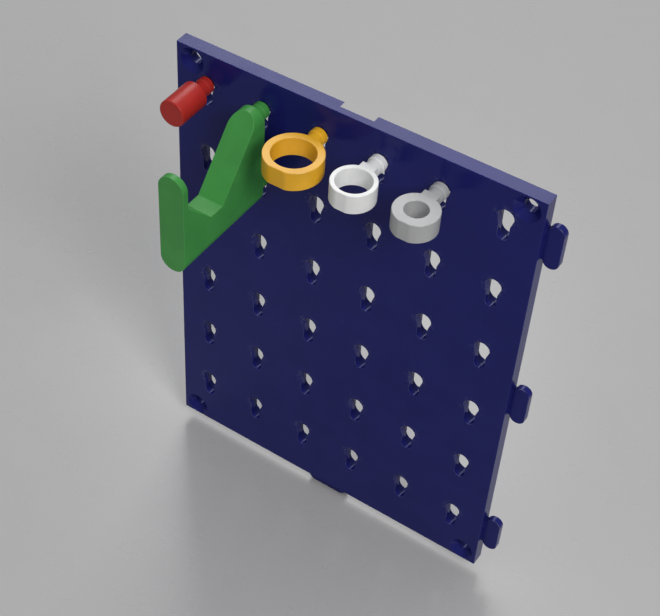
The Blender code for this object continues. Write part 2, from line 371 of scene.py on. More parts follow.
@dataclass(frozen=True)
class TilePlastic(MouldedPlastic):
    """Polished ABS of the tile, scuffed where plugs are pushed in and slid down.

    Attributes:
        grid_x: A keyhole's place across the tile, in metres. It and the next three are the tile's.
        grid_z: A keyhole's place up the tile.
        pitch_x: Distance between columns.
        pitch_z: Distance between rows.
        scuff_inner: Where the scuffing round a keyhole is strongest, in metres.
        scuff_outer: Where it has faded out, in metres.
        scuff_mm: Width of one fleck of it.
        scuff_depth: How rubbed the strongest fleck is.
    """

    grid_x: float = 0.0
    grid_z: float = 0.0
    pitch_x: float = 1.0
    pitch_z: float = 1.0
    scuff_inner: float = 0.0036
    scuff_outer: float = 0.0062
    scuff_mm: float = 1.1
    scuff_depth: float = 0.35

    def wear_socket(self, tree: Tree, place: Socket) -> Socket:
        """Edge wear, with a faint ring of scuffs round each keyhole's entry.

        Args:
            tree: The material's tree.
            place: Object coordinates.

        Returns:
            A grey socket from none to fully rubbed.
        """
        edges = super().wear_socket(tree, place)
        parts = add_node(tree, "ShaderNodeSeparateXYZ", {0: place}).outputs
        grid = ((parts[0], self.grid_x, self.pitch_x), (parts[2], self.grid_z, self.pitch_z))
        offsets = []
        for socket, start, pitch in grid:
            steps = maths(tree, "MULTIPLY_ADD", socket, 1.0 / pitch, 0.5 - start / pitch)
            share = maths(tree, "FRACT", steps)
            offsets.append(maths(tree, "MULTIPLY_ADD", share, pitch, -0.5 * pitch))
        local = add_node(tree, "ShaderNodeCombineXYZ", dict(enumerate(offsets))).outputs[0]
        length = add_node(tree, "ShaderNodeVectorMath", {0: local}, operation="LENGTH")
        ring = remap(
            tree,
            length.outputs["Value"],
            (self.scuff_inner, self.scuff_outer),
            (1.0, 0.0),
            interpolation_type="SMOOTHSTEP",
        )
        flecks = remap(
            tree,
            self.noise(tree, place, self.scuff_mm, 3.0),
            (0.52, 0.66),
            (0.0, self.scuff_depth),
        )
        return maths(tree, "MAXIMUM", edges, maths(tree, "MULTIPLY", ring, flecks))


@dataclass(frozen=True)
class StudioSurface:
    """Pale board with a faint sheen, under the object.

    Attributes:
        name: Material name.
        colour: Colour of the board, sRGB hex.
        specular: Specular level of the shader.
        mottle_mm: Width of the board's faint mottling.
        mottle_depth: Its darkest part, as a share of the colour.
        roughness: Roughness of the glossiest and the dullest part.
    """

    name: str
    colour: str
    specular: float = 0.4
    mottle_mm: float = 1000.0 / 60.0
    mottle_depth: float = 0.975
    roughness: tuple[float, float] = (0.24, 0.32)

    def make(self) -> bpy.types.Material:
        """Builds the floor's material.

        Returns:
            A material whose colour and gloss vary faintly.
        """
        material = bpy.data.materials.new(self.name)
        material.use_nodes = True
        tree = material.node_tree
        shader = tree.nodes["Principled BSDF"]
        shader.inputs["Specular IOR Level"].default_value = self.specular
        place = add_node(tree, "ShaderNodeTexCoord").outputs["Object"]
        values = {"Vector": place, "Scale": 1000.0 / self.mottle_mm, "Detail": 4.0}
        mottle = add_node(tree, "ShaderNodeTexNoise", values).outputs[0]
        body = linear(self.colour)
        dark = (*(value * self.mottle_depth for value in body[:3]), 1.0)
        tree.links.new(mixed(tree, mottle, dark, body), shader.inputs["Base Color"])
        rough = remap(tree, mottle, (0.0, 1.0), self.roughness)
        tree.links.new(rough, shader.inputs["Roughness"])
        return material


# Polished ABS: clear but dim reflections of the holders, tinted by the dark blue under them.
POLISHED_BLUE = TilePlastic(
    name="polished_blue_abs",
    colour="1D2064",
    texture=MouldTexture.POLISHED,
    specular=0.17,
    sheen="CDD0FF",
)
# Satin red ABS: one soft streak of light along the top of the peg, and a darker flat front.
SATIN_RED = MouldedPlastic("satin_red_abs", "AC2A24", specular=0.24)
# Satin green ABS: flat, even faces that part only at the thin light lines of their edges.
SATIN_GREEN = MouldedPlastic("satin_green_abs", "439245", specular=0.22)
# Satin orange ABS: a warm glow inside the ring, where the walls light one another.
SATIN_ORANGE = MouldedPlastic("satin_orange_abs", "EAAF26")
# Satin white ABS: nearly no visible highlight, so that its form shows by soft grey shade.
SATIN_WHITE = MouldedPlastic("satin_white_abs", "E9E9E6")
# Satin grey ABS: a light top over a darker wall, with a broad dull highlight between them.
SATIN_GREY = MouldedPlastic("satin_grey_abs", "ADADAC")
# Pale board: an even light ground, with a blurred darker image of the tile's foot.
PALE_BOARD = StudioSurface("pale_studio_board", "B5B4B3")


# ----------------------------------------------------------------------- mesh building


def arc(
    centre: tuple[float, float], radius: float, start: float, end: float, facets: int
) -> Outline:
    """Points on an arc, both ends included.

    Args:
        centre: Centre of the arc.
        radius: Radius in metres.
        start: First angle in degrees.
        end: Last angle in degrees.
        facets: Facets in a full turn.

    Returns:
        The points in order.
    """
    steps = max(1, round(facets * abs(end - start) / 360.0))
    angles = [math.radians(start + (end - start) * index / steps) for index in range(steps + 1)]
    return [
        (centre[0] + radius * math.cos(angle), centre[1] + radius * math.sin(angle))
        for angle in angles
    ]


def stadium(z_low: float, z_high: float, radius: float, facets: int) -> Outline:
    """Outline of an upright slot with round ends.

    Args:
        z_low: Centre of the lower end.
        z_high: Centre of the upper end.
        radius: Radius of both ends.
        facets: Facets in a full turn.

    Returns:
        The outline's points, anticlockwise.
    """
    upper = arc((0.0, z_high), radius, 0.0, 180.0, facets)
    return upper + arc((0.0, z_low), radius, 180.0, 360.0, facets)


def loft(bm: Shape, loops: list[list[Vector]], closed: bool = False) -> None:
    """Joins loops of equal length by quads, and caps the two ends.

    Args:
        bm: The mesh that gains the shape.
        loops: The loops in order, each a closed ring of points.
        closed: Joins the last loop to the first instead of capping.
    """
    rings = [[bm.verts.new(point) for point in loop] for loop in loops]
    pairs = list(zip(rings, rings[1:]))
    if closed:
        pairs.append((rings[-1], rings[0]))
    else:
        bm.faces.new(rings[0])
        bm.faces.new(rings[-1])
    for near, far in pairs:
        for index in range(len(near)):
            after = (index + 1) % len(near)
            bm.faces.new((near[index], near[after], far[after], far[index]))


def turned(bm: Shape, profile: Outline, centre: Vector) -> None:
    """Adds a solid turned about a line along Y.

    Args:
        bm: The mesh that gains the shape.
        profile: Pairs of distance along Y and radius.
        centre: The point that the profile is measured from.
    """
    loops = []
    for y, radius in profile:
        circle = arc((0.0, 0.0), radius, 0.0, 360.0, TURN_FACETS)[:-1]
        loops.append([centre + Vector((x, y, z)) for x, z in circle])
    loft(bm, loops)


def rounded(
    corner: tuple[float, float],
    before: tuple[float, float],
    after: tuple[float, float],
    radius: float,
) -> Outline:
    """Rounds one right-angled corner of a profile.

    Args:
        corner: The corner's place.
        before: Unit direction from the corner back along the profile.
        after: Unit direction from the corner on along the profile.
        radius: Radius of the rounding.

    Returns:
        Points of the rounding in order.
    """
    centre = tuple(c + (b + a) * radius for c, b, a in zip(corner, before, after))
    points = []
    for step in range(ROUNDING_FACETS + 1):
        angle = math.radians(90.0 * step / ROUNDING_FACETS)
        points.append(
            tuple(
                m - a * radius * math.cos(angle) - b * radius * math.sin(angle)
                for m, a, b in zip(centre, after, before)
            )
        )
    return points


def finish_mesh(bm: Shape, name: str) -> Piece:
    """Turns a bmesh into an object that stands at the origin, unturned and unscaled.

    Args:
        bm: The shape, in world coordinates. It is freed.
        name: The object's name.

    Returns:
        The object, linked to the scene.
    """
    bmesh.ops.remove_doubles(bm, verts=bm.verts, dist=MERGE_DISTANCE)
    bmesh.ops.recalc_face_normals(bm, faces=bm.faces)
    mesh = bpy.data.meshes.new(name)
    bm.to_mesh(mesh)
    bm.free()
    piece = bpy.data.objects.new(name, mesh)
    bpy.context.scene.collection.objects.link(piece)
    return piece


def bake_modifiers(piece: Piece, name: str) -> Piece:
    """Swaps an object with modifiers for a plain mesh of its result.

    Args:
        piece: The object whose modifiers are applied. It is removed.
        name: Name of the new object.

    Returns:
        The plain object.
    """
    piece.name = name + "_source"
    bpy.context.view_layer.update()
    evaluated = piece.evaluated_get(bpy.context.evaluated_depsgraph_get())
    mesh = bpy.data.meshes.new_from_object(evaluated)
    bpy.data.objects.remove(piece, do_unlink=True)
    mesh.name = name
    plain = bpy.data.objects.new(name, mesh)
    bpy.context.scene.collection.objects.link(plain)
    return plain


def finish_edges(piece: Piece, widest: float) -> Piece:
    """Creases a piece, marks its narrow edge bands as worn and evens out its shading.

    Args:
        piece: The shaped object. It is removed.
        widest: The widest band between two creases, in metres, that counts as an edge.

    Returns:
        The finished object, with the same name.
    """
    mesh = piece.data
    mesh.shade_smooth()
    mesh.set_sharp_from_angle(angle=CREASE_ANGLE)
    bm = bmesh.new()
    bm.from_mesh(mesh)
    wear = bm.faces.layers.float.new(WEAR)
    for edge in bm.edges:
        if any(len(face.verts) > MOST_CORNERS for face in edge.link_faces):
            edge.smooth = False
    for face in bm.faces:
        middles = [(e.verts[0].co + e.verts[1].co) / 2 for e in face.edges if not e.smooth]
        narrow = len(middles) == 2 and (middles[0] - middles[1]).length < widest
        face[wear] = 1.0 if narrow else 0.0
    bm.to_mesh(mesh)
    bm.free()
    weighting = piece.modifiers.new("even_shading", "WEIGHTED_NORMAL")
    weighting.keep_sharp = True
    return bake_modifiers(piece, piece.name)


def adopt(piece: Piece, node: str, material: bpy.types.Material) -> None:
    """Gives a finished piece its material, body and CAD node.

    Args:
        piece: The finished object.
        node: The CAD node that it stands for, which is also its body's name.
        material: The finish.
    """
    piece.data.materials.clear()
    piece.data.materials.append(material)
    piece.data.polygons.foreach_set("material_index", [0] * len(piece.data.polygons))
    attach(piece, node)
    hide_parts(node)
    LOG.info("%s: %d faces, %s", piece.name, len(piece.data.polygons), material.name)


# -------------------------------------------------------------------------------- tile


@dataclass
class KeyholeTile:
    """The wall tile: a slab with a grid of keyholes, screw holes and edge tabs.

    Attributes:
        columns: Keyholes across.
        rows: Keyholes down.
        column_pitch: Distance between columns.
        row_pitch: Distance between rows.
        first_x: Leftmost column.
        first_z: Top row's round entry.
        width: Slab width.
        height: Slab height.
        thickness: Slab thickness.
        lip: Depth of the keyhole's lip, before the pocket behind it.
        entry_radius: Round entry.
        slot_radius: Slot below the entry.
        taper: Height over which the entry narrows to the slot.
        travel: From the entry's centre down to the slot's foot centre.
        pocket_radius: Half the pocket's width.
        pocket_top: Top of the pocket above the entry's centre.
        pocket_bottom: Foot of the pocket below the entry's centre.
        chamfer: Broken edge of the slab and its tabs.
        keyhole_edge: Broken edge of each keyhole.
        screw_x: Screw holes' distance from the middle.
        screw_z: Screw holes' height from the middle.
        screw_radius: Screw hole.
        sink_radius: Countersink at the front face.
        sink_depth: Depth of the countersink.
        tab_length: A tab along its edge.
        tab_width: A tab's depth outwards.
        tab_thickness: A tab's thickness.
        tab_stand_off: Gap between the edge and the tab's round ends.
        tab_neck_step: How much shorter the neck is at each end.
        tab_clearance: Room round a tab in its pocket.
        side_tabs: Tabs on the side edge.
        tab_pitch: Distance between them.
        finish: The tile's plastic.
    """

    columns: int = 6
    rows: int = 6
    column_pitch: float = 0.025
    row_pitch: float = 0.0325
    first_x: float = -0.0625
    first_z: float = 0.0884
    width: float = 0.153
    height: float = 0.2032
    thickness: float = 0.0062
    lip: float = 0.003
    entry_radius: float = 0.0033
    slot_radius: float = 0.0022
    taper: float = 0.0034
    travel: float = 0.0077
    pocket_radius: float = 0.0035
    pocket_top: float = 0.0033
    pocket_bottom: float = -0.011
    chamfer: float = 0.00018
    keyhole_edge: float = 0.00008
    screw_x: float = 0.0695
    screw_z: float = 0.0958
    screw_radius: float = 0.0026
    sink_radius: float = 0.0053
    sink_depth: float = 0.0027
    tab_length: float = 0.0188
    tab_width: float = 0.0064
    tab_thickness: float = 0.0029
    tab_stand_off: float = 0.0004
    tab_neck_step: float = 0.0026
    tab_clearance: float = 0.0003
    side_tabs: int = 3
    tab_pitch: float = 0.0813
    finish: TilePlastic = POLISHED_BLUE

    def entry(self, column: int, row: int) -> Vector:
        """Centre of a keyhole's entry on the front face.

        Args:
            column: Its column, from 0 at the left.
            row: Its row, from 0 at the top.

        Returns:
            The centre.
        """
        x = self.first_x + column * self.column_pitch
        return Vector((x, -self.thickness, self.first_z - row * self.row_pitch))

    def keyhole_outline(self, grow: float) -> Outline:
        """Outline of one keyhole round its entry's centre.

        Args:
            grow: How far the outline lies outside the keyhole's own.

        Returns:
            Points (x, z) in order.
        """
        entry = arc((0.0, 0.0), self.entry_radius + grow, 0.0, 180.0, ENTRY_FACETS)
        slot = self.slot_radius + grow
        foot = arc((0.0, -self.travel), slot, 180.0, 360.0, SLOT_FACETS)
        return entry + [(-slot, -self.taper)] + foot + [(slot, -self.taper)]

    def keyhole_cutter(self) -> Piece:
        """One keyhole's cutter, with its front edge broken, from the front face inwards.

        Returns:
            The cutter, for an entry centred on the origin.
        """
        levels = (
            (-CUT_MARGIN, self.keyhole_edge + CUT_MARGIN),
            (self.keyhole_edge, 0.0),
            (self.lip + CUT_MARGIN, 0.0),
        )
        bm = bmesh.new()
        loft(bm, [[Vector((x, y, z)) for x, z in self.keyhole_outline(g)] for y, g in levels])
        return self.helper(bm, "keyhole_cutter")

    def pocket_cutter(self) -> Piece:
        """One pocket's cutter, from behind the lip to past the back face.

        Returns:
            The cutter, for an entry centred on the origin.
        """
        outline = stadium(
            self.pocket_bottom + self.pocket_radius,
            self.pocket_top - self.pocket_radius,
            self.pocket_radius,
            SLOT_FACETS,
        )
        levels = (self.lip, self.thickness + CUT_MARGIN)
        bm = bmesh.new()
        loft(bm, [[Vector((x, y, z)) for x, z in outline] for y in levels])
        return self.helper(bm, "pocket_cutter")

    def screw_cutter(self) -> Piece:
        """One countersunk hole's cutter, from the front face inwards.

        Returns:
            The cutter, for a hole centred on the origin.
        """
        slope = (self.sink_radius - self.screw_radius) / self.sink_depth
        profile = [
            (-CUT_MARGIN, self.sink_radius + CUT_MARGIN * slope),
            (self.sink_depth, self.screw_radius),
            (self.thickness + CUT_MARGIN, self.screw_radius),
        ]
        bm = bmesh.new()
        turned(bm, profile, Vector())
        return self.helper(bm, "screw_cutter")

    def helper(self, bm: Shape, name: str) -> Piece:
        """Makes an object that only shapes the tile.

        Args:
            bm: Its shape. It is freed.
            name: Its name.

        Returns:
            The object, left out of renders.
        """
        piece = finish_mesh(bm, name)
        piece.hide_render = True
        return piece

    def tab_outline(self, grow: float) -> Outline:
        """Outline of a round-ended tab with its neck.

        Args:
            grow: What the outline gains on each side.

        Returns:
            Points as (distance beyond the edge, distance along it).
        """
        middle = self.tab_stand_off + self.tab_width / 2
        radius = self.tab_width / 2 + grow
        straight = (self.tab_length - self.tab_width) / 2
        neck = self.tab_length / 2 - self.tab_neck_step + grow
        root = math.degrees(math.asin((neck - straight) / radius))
        far = arc((middle, straight), radius, 0.0, 180.0 - root, TAB_FACETS)
        near = arc((middle, -straight), radius, 180.0 + root, 360.0, TAB_FACETS)
        return far + [(-NECK_OVERLAP, neck), (-NECK_OVERLAP, -neck)] + near

    def tabs(self, side: float, grow: float, levels: Outline) -> Shape:
        """The side tabs and the end tab, or the pockets for them.

        Args:
            side: 1 for the tabs on the right and below; -1 for pockets at the left and top.
            grow: What each outline gains on each side.
            levels: Pairs of Y and how far the outline is drawn in there.

        Returns:
            The shapes in one bmesh.
        """
        bm = bmesh.new()
        side_edge = side * self.width / 2
        end_edge = -side * self.height / 2
        top = (self.side_tabs - 1) / 2 * self.tab_pitch
        places = [("side", top - index * self.tab_pitch) for index in range(self.side_tabs)]
        places.append(("end", 0.0))
        for edge, height in places:
            loops = []
            for y, inset in levels:
                outline = self.tab_outline(grow - inset)
                if edge == "side":
                    loops.append([Vector((side_edge + u, y, height + v)) for u, v in outline])
                else:
                    loops.append([Vector((v, y, end_edge - u)) for u, v in outline])
            loft(bm, loops)
        return bm

    def blank(self) -> Piece:
        """The slab before it is pierced, with its edges broken.

        Returns:
            The slab, to be pierced by a modifier.
        """
        bm = bmesh.new()
        half_width, half_height, cut = self.width / 2, self.height / 2, self.chamfer
        loops = []
        front = -self.thickness
        for y, inset in ((front, cut), (front + cut, 0.0), (-cut, 0.0), (0.0, cut)):
            x, z = half_width - inset, half_height - inset
            corners = ((-x, -z), (x, -z), (x, z), (-x, z))
            loops.append([Vector((across, y, up)) for across, up in corners])
        loft(bm, loops)
        return finish_mesh(bm, "tile_blank")

    def perforation_tree(self) -> Tree:
        """Geometry nodes that join the tabs and cut the grid of holes.

        Returns:
            The node group, with named inputs for every size.
        """
        tree = bpy.data.node_groups.new("perforated_tile", "GeometryNodeTree")
        face = tree.interface
        face.new_socket("Slab", in_out="INPUT", socket_type="NodeSocketGeometry")
        sockets = {
            "Object": ("Keyhole", "Pocket", "Screw Hole", "Tabs", "Tab Pockets"),
            "Int": ("Columns", "Rows"),
            "Float": (
                "Column Pitch",
                "Row Pitch",
                "Grid Middle X",
                "Grid Middle Z",
                "Front Y",
                "Screw Spread X",
                "Screw Spread Z",
            ),
            "Material": ("Finish",),
        }
        for kind, names in sockets.items():
            for name in names:
                face.new_socket(name, in_out="INPUT", socket_type="NodeSocket" + kind)
        face.new_socket("Tile", in_out="OUTPUT", socket_type="NodeSocketGeometry")
        given = add_node(tree, "NodeGroupInput").outputs

        def shape(name: str) -> Socket:
            """The geometry of an object input.

            Args:
                name: The input's name.

            Returns:
                The geometry's socket.
            """
            inputs = {"Object": given[name]}
            info = add_node(tree, "GeometryNodeObjectInfo", inputs, transform_space="ORIGINAL")
            return info.outputs["Geometry"]

        def spread(count: str, pitch: str) -> Socket:
            """Distance from the first to the last of a row of holes.

            Args:
                count: Name of the input that counts them.
                pitch: Name of the input that spaces them.

            Returns:
                The distance's socket.
            """
            gaps = maths(tree, "SUBTRACT", given[count], 1.0)
            return maths(tree, "MULTIPLY", gaps, given[pitch])

        def grid(size: tuple[object, object], counts: tuple[object, object]) -> Socket:
            """A flat grid of points.

            Args:
                size: Its width and height.
                counts: Points across and down.

            Returns:
                The points' socket.
            """
            inputs = dict(zip(("Size X", "Size Y", "Vertices X", "Vertices Y"), (*size, *counts)))
            return add_node(tree, "GeometryNodeMeshGrid", inputs).outputs["Mesh"]

        def holes(points: Socket, middle: dict[int, Socket], cutter: str) -> Socket:
            """One cutter on every point of a grid that stands in the tile's front plane.

            Args:
                points: The flat grid.
                middle: Where its middle stands, by axis number.
                cutter: Name of the cutter's input.

            Returns:
                The cutters' socket.
            """
            place = add_node(tree, "ShaderNodeCombineXYZ", middle).outputs[0]
            pose = {"Geometry": points, "Translation": place, "Rotation": (math.pi / 2, 0.0, 0.0)}
            upright = add_node(tree, "GeometryNodeTransform", pose).outputs[0]
            spots = {"Points": upright, "Instance": shape(cutter)}
            copies = add_node(tree, "GeometryNodeInstanceOnPoints", spots).outputs[0]
            return add_node(tree, "GeometryNodeRealizeInstances", {0: copies}).outputs[0]

        front = {1: given["Front Y"]}
        middle = {0: given["Grid Middle X"], 1: given["Front Y"], 2: given["Grid Middle Z"]}
        keyholes = grid(
            (spread("Columns", "Column Pitch"), spread("Rows", "Row Pitch")),
            (given["Columns"], given["Rows"]),
        )
        corners = grid((given["Screw Spread X"], given["Screw Spread Z"]), (2, 2))
        slab = {"Mesh 2": given["Slab"]}
        joined = add_node(tree, "GeometryNodeMeshBoolean", slab, operation="UNION", solver="EXACT")
        tree.links.new(shape("Tabs"), joined.inputs["Mesh 2"])
        body = joined.outputs["Mesh"]
        for cutter in (
            holes(keyholes, middle, "Keyhole"),
            holes(keyholes, middle, "Pocket"),
            holes(corners, front, "Screw Hole"),
            shape("Tab Pockets"),
        ):
            pair = {"Mesh 1": body, "Mesh 2": cutter}
            body = add_node(
                tree, "GeometryNodeMeshBoolean", pair, operation="DIFFERENCE", solver="EXACT"
            ).outputs["Mesh"]
        whole = add_node(tree, "GeometryNodeRealizeInstances", {0: body}).outputs[0]
        dressed = add_node(
            tree, "GeometryNodeSetMaterial", {"Geometry": whole, "Material": given["Finish"]}
        ).outputs[0]
        add_node(tree, "NodeGroupOutput", {0: dressed})
        return tree

    def build(self) -> Piece:
        """Makes the pierced tile.

        Returns:
            The tile as one plain mesh, not yet on its body.
        """
        depth, cut = self.tab_thickness, self.chamfer
        levels = [(-depth, cut), (-depth + cut, 0.0), (-cut, 0.0), (0.0, cut)]
        room = self.tab_clearance
        pockets = self.tabs(-1, room, [(-depth - room, 0.0), (CUT_MARGIN, 0.0)])
        helpers = {
            "Keyhole": self.keyhole_cutter(),
            "Pocket": self.pocket_cutter(),
            "Screw Hole": self.screw_cutter(),
            "Tabs": self.helper(self.tabs(1, 0.0, levels), "tabs"),
            "Tab Pockets": self.helper(pockets, "tab_pockets"),
        }
        blank = self.blank()
        modifier = blank.modifiers.new("perforate", "NODES")
        modifier.node_group = self.perforation_tree()
        last = self.entry(self.columns - 1, self.rows - 1)
        plastic = replace(
            self.finish,
            grid_x=self.first_x,
            grid_z=self.first_z,
            pitch_x=self.column_pitch,
            pitch_z=self.row_pitch,
        )
        values = {
            **helpers,
            "Columns": self.columns,
            "Rows": self.rows,
            "Column Pitch": self.column_pitch,
            "Row Pitch": self.row_pitch,
            "Grid Middle X": (self.first_x + last.x) / 2,
            "Grid Middle Z": (self.first_z + last.z) / 2,
            "Front Y": -self.thickness,
            "Screw Spread X": 2 * self.screw_x,
            "Screw Spread Z": 2 * self.screw_z,
            "Finish": plastic.make(),
        }
        for item in modifier.node_group.interface.items_tree:
            if item.in_out == "INPUT" and item.name in values:
                modifier[item.identifier] = values[item.name]
        tile = bake_modifiers(blank, "keyhole_tile")
        for piece in helpers.values():
            bpy.data.objects.remove(piece, do_unlink=True)
        return finish_edges(tile, TILE_EDGE_BAND * self.chamfer)

    def dress(self, tile: Piece) -> None:
        """Puts the tile on its body and gives it its plastic.

        Args:
            tile: The finished tile.
        """
        # The nodes set the plastic, and leave an empty slot before it.
        plastic = next(material for material in tile.data.materials if material)
        adopt(tile, "wall_panel", plastic)


# ----------------------------------------------------------------------------- holders


@dataclass
class Plug:
    """The stub that every holder ends in: head, neck, collar and shaft, turned about Y.

    Attributes:
        head_radius: Head behind the lip.
        neck_radius: Neck through the slot.
        collar_radius: Collar in front of the tile.
        shaft_radius: Slimmer shaft from the collar to the holder.
        head_front: Front of the head behind the tile's face.
        head_back: Back of the head behind the tile's face.
        collar_back: Back of the collar in front of the face.
        collar_length: Front of the collar in front of the face.
        stand_off: Back of the holder's body in front of the face.
        head_edge: Rounding of the head's back.
        collar_edge: Rounding of the collar's back.
    """

    head_radius: float = 0.003
    neck_radius: float = 0.0019
    collar_radius: float = 0.0034
    shaft_radius: float = 0.0031
    head_front: float = 0.0033
    head_back: float = 0.0057
    collar_back: float = 0.0003
    collar_length: float = 0.003
    stand_off: float = 0.0065
    head_edge: float = 0.0005
    collar_edge: float = 0.0002

    def profile(self, overlap: float) -> Outline:
        """Profile from the head to the shaft's front.

        Args:
            overlap: How far the shaft runs into the holder's body.

        Returns:
            Pairs of distance along Y, inwards positive, and radius.
        """
        step = self.collar_radius - self.shaft_radius
        inwards, forwards = (0.0, -1.0), (-1.0, 0.0)
        head = (self.head_back, self.head_radius)
        collar = (-self.collar_back, self.collar_radius)
        return [
            *rounded(head, inwards, forwards, self.head_edge),
            (self.head_front, self.head_radius),
            (self.head_front, self.neck_radius),
            (-self.collar_back, self.neck_radius),
            *rounded(collar, inwards, forwards, self.collar_edge),
            (-self.collar_length + step, self.collar_radius),
            (-self.collar_length, self.shaft_radius),
            (-self.stand_off - overlap, self.shaft_radius),
        ]

    def add(self, bm: Shape, centre: Vector) -> None:
        """Adds the plug to a holder's mesh, round a keyhole entry's centre."""
        turned(bm, self.profile(SHAFT_OVERLAP), centre)


@dataclass
class PlainPeg:
    """A straight round peg on one plug.

    Attributes:
        centre: Centre of its keyhole's entry.
        plug: The plug behind it.
        radius: Radius of the peg.
        length: Length of the peg's body.
        back_chamfer: Chamfer next to the shaft.
        front_edge: Broken edge at the front.
        finish: The peg's plastic.
    """

    centre: Vector
    plug: Plug = field(default_factory=Plug)
    radius: float = 0.0055
    length: float = 0.0155
    back_chamfer: float = 0.0013
    front_edge: float = 0.0005
    finish: MouldedPlastic = SATIN_RED

    def build(self) -> Piece:
        """Turns the peg and its plug from one profile.

        Returns:
            The peg, not yet on its body.
        """
        back = -self.plug.stand_off
        front = back - self.length
        profile = self.plug.profile(0.0) + [
            (back, self.radius - self.back_chamfer),
            (back - self.back_chamfer, self.radius),
            *rounded((front, self.radius), (1.0, 0.0), (0.0, -1.0), self.front_edge),
        ]
        bm = bmesh.new()
        turned(bm, profile, self.centre)
        return finish_edges(finish_mesh(bm, "peg"), HOLDER_EDGE_BAND)

    def dress(self, piece: Piece) -> None:
        """Puts the peg on its body in red."""
        adopt(piece, "plain_peg", self.finish.make())


@dataclass
class Hook:
    """A deep bar on two plugs, with a sloping mouth and an upright lip.

    Attributes:
        centre: Centre of the upper plug's keyhole entry.
        row_pitch: Distance down to the lower plug.
        plug: The plugs behind it.
        radius: Half the bar's width and radius of its ends.
        length: From the bar's back to its front.
        lip_thickness: Thickness of the lip.
        lip_depth: Depth of the lip's upright wall below the upper plug.
        floor_depth: Depth of the mouth's floor below the upper plug.
        floor_length: Length of the floor.
        front_slope: Slope from the floor up to the lip, in degrees.
        back_slope: Slope from the floor up to the top, in degrees.
        edge: Rounding of the edges.
        finish: The hook's plastic.
    """

    centre: Vector
    row_pitch: float
    plug: Plug = field(default_factory=Plug)
    radius: float = 0.0055
    length: float = 0.0489
    lip_thickness: float = 0.0028
    lip_depth: float = 0.0078
    floor_depth: float = 0.0209
    floor_length: float = 0.0071
    front_slope: float = 45.0
    back_slope: float = 50.0
    edge: float = 0.0002
    finish: MouldedPlastic = SATIN_GREEN

    def mouth(self) -> Piece:
        """The block that cuts the mouth out of the bar.

        Returns:
            The block, wider and higher than the bar.
        """
        top = half = self.radius + MOUTH_MARGIN
        lip = -self.plug.stand_off - self.length + self.lip_thickness
        drop = self.floor_depth - self.lip_depth
        floor_front = lip + drop / math.tan(math.radians(self.front_slope))
        floor_back = floor_front + self.floor_length
        back = floor_back + (self.floor_depth + top) / math.tan(math.radians(self.back_slope))
        side = [
            (lip, top),
            (lip, -self.lip_depth),
            (floor_front, -self.floor_depth),
            (floor_back, -self.floor_depth),
            (back, top),
        ]
        bm = bmesh.new()
        loft(bm, [[self.centre + Vector((x, y, z)) for y, z in side] for x in (-half, half)])
        return finish_mesh(bm, "hook_mouth")

    def build(self) -> Piece:
        """Cuts the mouth, rounds the edges and adds the two plugs.

        Returns:
            The hook, not yet on its body.
        """
        outline = stadium(-self.row_pitch, 0.0, self.radius, HOOK_FACETS)
        back = -self.plug.stand_off
        ends = (back - self.length, back)
        bm = bmesh.new()
        loft(bm, [[self.centre + Vector((x, y, z)) for x, z in outline] for y in ends])
        bar = finish_mesh(bm, "hook_bar")
        mouth = self.mouth()
        cut = bar.modifiers.new("mouth", "BOOLEAN")
        cut.object, cut.operation, cut.solver = mouth, "DIFFERENCE", "EXACT"
        soften = bar.modifiers.new("edges", "BEVEL")
        soften.width, soften.segments = self.edge, BEVEL_SEGMENTS
        soften.limit_method, soften.angle_limit = "ANGLE", BEVEL_ANGLE
        bar = bake_modifiers(bar, "hook_bar")
        bpy.data.objects.remove(mouth, do_unlink=True)
        bm = bmesh.new()
        bm.from_mesh(bar.data)
        bpy.data.objects.remove(bar, do_unlink=True)
        for drop in (0.0, self.row_pitch):
            self.plug.add(bm, self.centre - Vector((0.0, 0.0, drop)))
        return finish_edges(finish_mesh(bm, "double_hook"), HOLDER_EDGE_BAND)

    def dress(self, piece: Piece) -> None:
        """Puts the hook on its body in green."""
        adopt(piece, "hook", self.finish.make())


